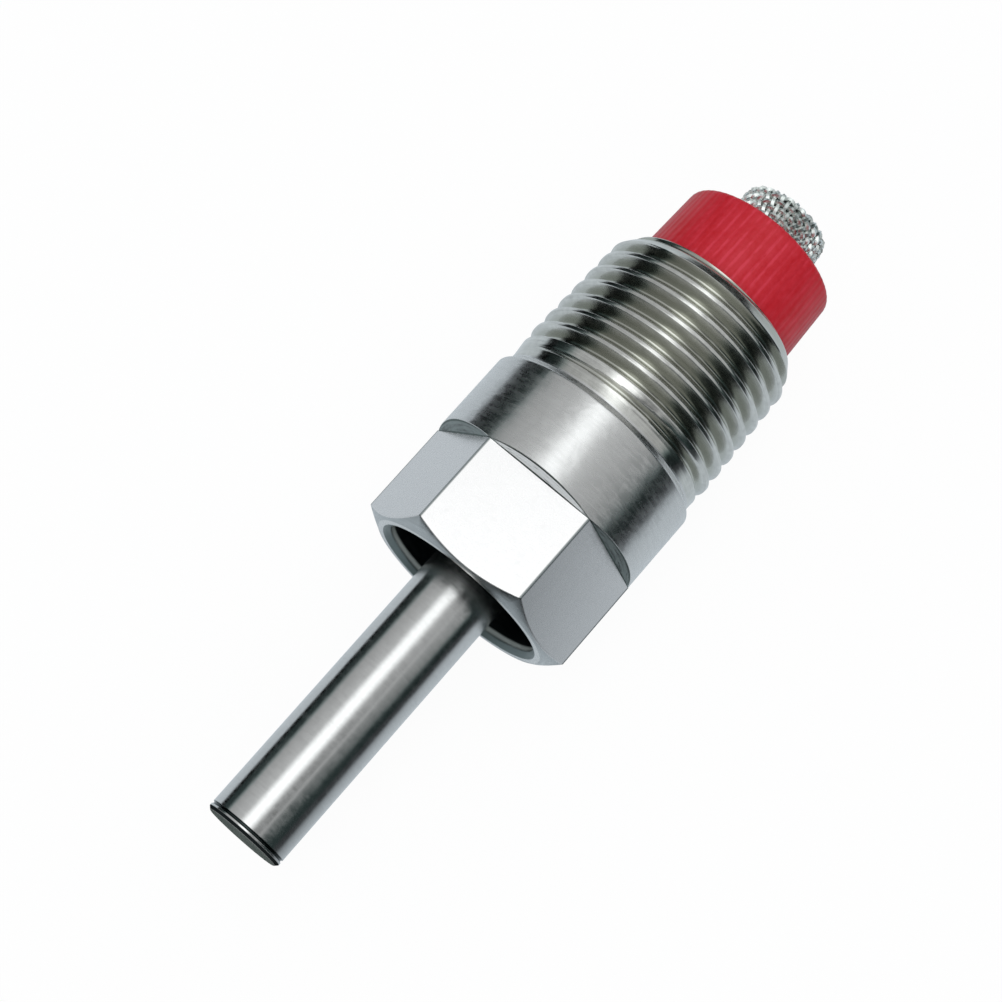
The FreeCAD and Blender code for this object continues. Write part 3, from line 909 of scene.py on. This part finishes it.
def make_floor():
    """Pale floor that the collar rests on, white to the camera but for the shadow.

    The metal mirrors only a white sheet round the object, with dark beyond it.
    """
    bpy.ops.mesh.primitive_plane_add(size=6.0, location=(0, 0, -(COLLAR_RADIUS + 0.02) * MM))
    floor = bpy.context.object
    floor.name = "floor"
    nodes = Nodes(bpy.data.materials.new("floor_paint"))
    path = nodes.add("ShaderNodeLightPath").outputs
    glossy = path["Is Glossy Ray"]
    clear = nodes.math("MAXIMUM", path["Is Camera Ray"], path["Is Transmission Ray"])
    parts = nodes.add("ShaderNodeSeparateXYZ")
    nodes.join(nodes.add("ShaderNodeNewGeometry").outputs["Position"], parts.inputs[0])
    x, y = parts.outputs[X], parts.outputs[Y]
    # the sheet's edges: to the left, slanting away to the right, and behind the strainer
    left = nodes.spread(nodes.plus(x, nodes.times(y, 0.3)), -0.085, -0.062, 0.0, 1.0, soft=True)
    slant = nodes.minus(x, nodes.times(nodes.plus(y, 0.036), 0.8))
    right = nodes.spread(slant, -0.004, 0.058, 1.0, 0.06, soft=True)
    behind = nodes.spread(y, 0.13, 0.22, 1.0, 0.0, soft=True)
    sheet = nodes.times(nodes.times(left, right), behind)
    # light of its own: full for the camera, the sheet's for the metal
    white = nodes.add("ShaderNodeEmission")
    glow = nodes.times(sheet, 0.72)
    nodes.join(nodes.plus(clear, nodes.times(glossy, glow)), white.inputs["Strength"])
    nodes.join(nodes.blend(glossy, (1.0, 1.0, 1.0), (0.84, 0.97, 1.07)), white.inputs["Color"])
    # the rest is paint that takes the shadow
    plain = nodes.add("ShaderNodeBsdfDiffuse")
    plain.inputs["Color"].default_value = (0.85, 0.85, 0.86, 1)
    own = nodes.minus(1.0, nodes.times(sheet, 0.35))
    own = nodes.plus(nodes.times(clear, 0.95), nodes.times(glossy, own))
    mix = nodes.add("ShaderNodeMixShader")
    nodes.join(own, mix.inputs[0])
    nodes.join(plain.outputs[0], mix.inputs[1])
    nodes.join(white.outputs[0], mix.inputs[2])
    nodes.join(mix.outputs[0], nodes.tree.nodes["Material Output"].inputs["Surface"])
    floor.data.materials.append(nodes.owner)


def wall_share(nodes, x, y, z):
    """Share that is 1 above the foot of the studio's walls, which rises and falls along Y on the +X side."""
    degrees = 180 / math.pi
    rise = nodes.times(nodes.math("ARCSINE", z), degrees)
    side_rise = nodes.times(nodes.math("ARCTAN2", z, nodes.math("ABSOLUTE", x)), degrees)
    foot = nodes.plus(nodes.spread(y, 0.10, 0.19, 23.0, -3.0), nodes.spread(y, 0.3, 0.73, 0.0, 22.0))
    foot = nodes.plus(nodes.times(nodes.math("GREATER_THAN", x, 0.0), foot), 21.0)
    return nodes.times(nodes.spread(nodes.minus(side_rise, foot), -7.0, 7.0, 0.0, 1.0, soft=True),
                       nodes.spread(rise, 7.0, 14.0, 0.0, 1.0, soft=True))


def wall_light(nodes, x, y, from_top, from_lamp):
    """Grey of the walls: darker away from the lamp, and dim with one thin pale strip at the front, on +X."""
    front = nodes.spread(y, 0.09, 0.20, 1.0, 0.0, soft=True)
    side = nodes.times(nodes.math("GREATER_THAN", x, 0.0), nodes.minus(1.0, front))
    grey = nodes.plus(nodes.spread(from_lamp, 14.0, 62.0, 0.68, 0.48, soft=True), nodes.times(side, 0.1))
    dim = nodes.times(nodes.spread(from_top, 10.0, 22.0, 0.0, 0.68, soft=True), front)
    grey = nodes.times(grey, nodes.minus(1.0, dim))
    off_strip = nodes.math("ABSOLUTE", nodes.minus(from_top, 38.0))
    strip = nodes.times(nodes.spread(off_strip, 1.0, 5.5, 0.3, 0.0, soft=True), front)
    return nodes.plus(grey, strip)


def lamp_light(nodes, y, from_lamp):
    """Light of the long soft lamp overhead, narrower and a little fainter towards +Y."""
    past_edge = nodes.minus(from_lamp, nodes.spread(y, 0.2, 0.27, 14.0, 8.0, soft=True))
    peak = nodes.plus(nodes.spread(y, 0.19, 0.225, 1.25, 0.86), nodes.spread(y, 0.28, 0.31, 0.0, 0.35))
    peak = nodes.times(peak, nodes.spread(nodes.math("ABSOLUTE", y), 0.5, 0.65, 1.0, 0.0, soft=True))
    return nodes.times(nodes.spread(past_edge, -8.5, 8.5, 1.0, 0.0, soft=True), peak)


def make_world():
    """Studio: a soft lamp overhead between grey walls, dark near the horizon. White where the camera looks.

    Angles are in degrees from straight overhead towards +X, and y is how far a direction leans along Y.
    """
    world = bpy.data.worlds.new("studio")
    bpy.context.scene.world = world
    nodes = Nodes(world)
    nodes.tree.nodes.clear()
    parts = nodes.add("ShaderNodeSeparateXYZ")
    nodes.join(nodes.add("ShaderNodeTexCoord").outputs["Generated"], parts.inputs[0])
    x, y, z = parts.outputs
    from_top = nodes.times(nodes.math("ARCTAN2", x, z), 180 / math.pi)
    from_lamp = nodes.math("ABSOLUTE", nodes.plus(from_top, 5.0))
    walls = wall_share(nodes, x, y, z)
    light = nodes.plus(wall_light(nodes, x, y, from_top, from_lamp), lamp_light(nodes, y, from_lamp))
    light = nodes.plus(nodes.times(walls, light), nodes.spread(y, 0.08, 0.17, 0.06, 0.022))
    studio = nodes.add("ShaderNodeBackground")
    nodes.join(nodes.blend(walls, (0.66, 1.0, 1.0), (0.975, 1.0, 1.015)), studio.inputs["Color"])
    nodes.join(light, studio.inputs["Strength"])
    white = nodes.add("ShaderNodeBackground")
    white.inputs["Color"].default_value = (1, 1, 1, 1)
    mix = nodes.add("ShaderNodeMixShader")
    nodes.join(nodes.add("ShaderNodeLightPath").outputs["Is Camera Ray"], mix.inputs[0])
    nodes.join(studio.outputs[0], mix.inputs[1])
    nodes.join(white.outputs[0], mix.inputs[2])
    nodes.join(mix.outputs[0], nodes.add("ShaderNodeOutputWorld").inputs["Surface"])


def make_lamp(name, kind):
    """Lamp that the metal doesn't mirror."""
    lamp = bpy.data.objects.new(name, bpy.data.lights.new(name, kind))
    lamp.visible_glossy = False
    bpy.context.scene.collection.objects.link(lamp)
    return lamp


def make_lights():
    """Soft key lamp for the shadow, and an even fill. A radiance of 1 is as bright as white paper."""
    place = Vector((-0.03, 0.08, 0.6))
    width, length, radiance = 0.3, 0.4, 1.1
    key = make_lamp("overhead", "AREA")
    key.data.shape = "RECTANGLE"
    key.data.size, key.data.size_y = width, length
    key.data.energy = radiance * math.pi * width * length
    key.location = place
    key.rotation_mode = "QUATERNION"
    key.rotation_quaternion = (-place).to_track_quat("-Z", "Y")
    fill = make_lamp("fill", "SUN")
    fill.data.energy = 0.7
    fill.data.angle = math.radians(60)
    fill.rotation_euler = (math.radians(25), math.radians(25), 0)


def make_camera():
    """Camera at the photograph's viewing angle, worked out from its place beside the drinker's axis."""
    above = math.radians(CAMERA_ABOVE)
    turn = math.radians(CAMERA_TURN)
    lift = math.tan(math.radians(CAMERA_LIFT))
    roll = math.radians(CAMERA_ROLL)
    outward = Vector((math.cos(above), 0, math.sin(above)))
    upward = Vector((-math.sin(above), 0, math.cos(above)))
    along = Vector((0, 1, 0))
    place = Vector((0, CAMERA_STATION, 0)) + CAMERA_DISTANCE * outward
    looking = (-outward * math.cos(turn) + along * math.sin(turn) + upward * lift).normalized()
    back = -looking
    axis = (along - along.dot(looking) * looking).normalized()
    across = back.cross(axis)
    right = axis * math.cos(roll) - across * math.sin(roll)
    up = axis * math.sin(roll) + across * math.cos(roll)
    data = bpy.data.cameras.new("camera")
    data.sensor_width = 36.0
    data.lens = LENS
    data.clip_start = 0.01
    data.clip_end = 20.0
    camera = bpy.data.objects.new("camera", data)
    bpy.context.scene.collection.objects.link(camera)
    camera.matrix_world = Matrix((
        (right.x, up.x, back.x, place.x * MM),
        (right.y, up.y, back.y, place.y * MM),
        (right.z, up.z, back.z, place.z * MM),
        (0, 0, 0, 1),
    ))
    bpy.context.scene.camera = camera


make_camera()
make_object()
make_floor()
make_world()
make_lights()
bpy.context.scene.view_settings.view_transform = "Standard"
